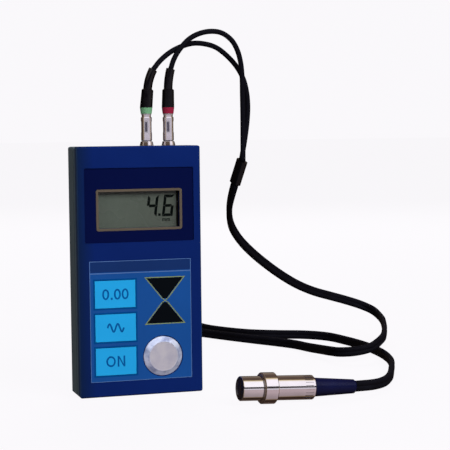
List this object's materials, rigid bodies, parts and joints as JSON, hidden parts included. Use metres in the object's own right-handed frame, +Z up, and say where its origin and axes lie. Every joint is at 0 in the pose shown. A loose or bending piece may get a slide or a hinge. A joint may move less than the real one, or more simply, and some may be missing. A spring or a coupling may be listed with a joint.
{
  "type": "ultrasonic thickness gauge",
  "caption": "Hand-held ultrasonic thickness gauge: upright case with display, film keypad and steel test disc, push-pull plugs and a twin lead to a round contact probe.",
  "frame": {"origin": "middle of the case's bottom end, on the surface that it stands on", "axes": "+Z up along the case, -Y the way the display faces, +X to the right seen from the front, the side the leads hang on"},
  "size_m": [0.2263, 0.3144, 0.1857],
  "materials": {
    "case_navy": "fine moulded texture, low sheen",
    "case_grey": "fine moulded texture",
    "cell_wrap": "printed wrap with bare metal ends",
    "spring_steel": "nickel plated",
    "board_green": "solder mask",
    "ribbon_film": "clear amber film",
    "chip_black": "moulded",
    "can_metal": "satin",
    "capacitor_blue": "sleeve",
    "lcd_glass": "grey-green, reflective",
    "holder_white": "moulded",
    "zebra_rubber": "layered",
    "window_clear": "clear, polished",
    "frame_bronze": "satin",
    "panel_dark": "film, satin",
    "overlay_blue": "film, satin",
    "key_blue": "film, satin",
    "key_black": "film, satin",
    "disc_steel": "ground flat, turned edge",
    "nickel": "satin nickel on brass",
    "ring_green": "satin",
    "ring_red": "satin",
    "boot_black": "soft",
    "lead_black": "soft jacket, low sheen",
    "inner_wire": "wire insulation",
    "probe_steel": "turned, satin",
    "boot_navy": "soft, low sheen",
    "wedge_resin": "cast resin",
    "cork": "cork sheet",
    "damping_resin": "filled resin",
    "screw_steel": "zinc plated"
  },
  "bodies": {
    "gauge": {"front_shell": "case_navy", "rear_shell": "case_grey", "battery_left": "cell_wrap", "battery_right": "cell_wrap", "battery_springs": "spring_steel", "battery_plates": "spring_steel", "main_board": "board_green", "keypad_board": "board_green", "keypad_ribbon": "ribbon_film", "processor_chip": "chip_black", "receiver_chip": "chip_black", "quartz_crystal": "can_metal", "capacitors": "capacitor_blue", "lcd_glass": "lcd_glass", "lcd_holder": "holder_white", "zebra_strips": "zebra_rubber", "display_window": "window_clear", "display_frame": "frame_bronze", "display_panel": "panel_dark", "keypad_overlay": "overlay_blue", "dome_switches": "spring_steel", "test_disc": "disc_steel", "socket_green": "nickel", "socket_red": "nickel", "socket_nut_green": "nickel", "socket_nut_red": "nickel", "plug_core_green": "nickel", "plug_core_red": "nickel", "ring_green": "ring_green", "ring_red": "ring_red", "boot_green": "boot_black", "boot_red": "boot_black", "lead_sleeve_green": "boot_black", "lead_sleeve_red": "boot_black", "cord_green": "lead_black", "cord_red": "lead_black", "joint_sleeve": "boot_black", "cord_twin": "lead_black", "inner_leads": "inner_wire", "probe_nose": "probe_steel", "probe_body": "probe_steel", "probe_boot": "boot_navy", "transmit_block": "wedge_resin", "receive_block": "wedge_resin", "sound_barrier": "cork", "damping_block": "damping_resin", "case_screws": "screw_steel", "board_screws": "screw_steel"},
    "key_zero": {"key_zero": "key_blue"},
    "key_velocity": {"key_velocity": "key_blue"},
    "key_on": {"key_on": "key_blue"},
    "key_down": {"key_down": "key_black"},
    "key_up": {"key_up": "key_black"},
    "battery_door": {"battery_door": "case_grey"},
    "release_green": {"plug_shell_green": "nickel"},
    "release_red": {"plug_shell_red": "nickel"}
  },
  "joints": [
    {"name": "key_zero_press", "type": "slide", "parent": "gauge", "child": "key_zero", "axis": [0, 1, 0], "range_m": [0, 0.0004], "stiffness_N_per_m": 500},
    {"name": "key_velocity_press", "type": "slide", "parent": "gauge", "child": "key_velocity", "axis": [0, 1, 0], "range_m": [0, 0.0004], "stiffness_N_per_m": 500},
    {"name": "key_on_press", "type": "slide", "parent": "gauge", "child": "key_on", "axis": [0, 1, 0], "range_m": [0, 0.0004], "stiffness_N_per_m": 500},
    {"name": "key_down_press", "type": "slide", "parent": "gauge", "child": "key_down", "axis": [0, 1, 0], "range_m": [0, 0.0004], "stiffness_N_per_m": 500},
    {"name": "key_up_press", "type": "slide", "parent": "gauge", "child": "key_up", "axis": [0, 1, 0], "range_m": [0, 0.0004], "stiffness_N_per_m": 500},
    {"name": "battery_door_off", "type": "slide", "parent": "gauge", "child": "battery_door", "axis": [0, 1, 0], "range_m": [0, 0.03]},
    {"name": "plug_release_green", "type": "slide", "parent": "gauge", "child": "release_green", "axis": [0, 0, 1], "range_m": [0, 0.001], "stiffness_N_per_m": 300},
    {"name": "plug_release_red", "type": "slide", "parent": "gauge", "child": "release_red", "axis": [0, 0, 1], "range_m": [0, 0.001], "stiffness_N_per_m": 300}
  ]
}
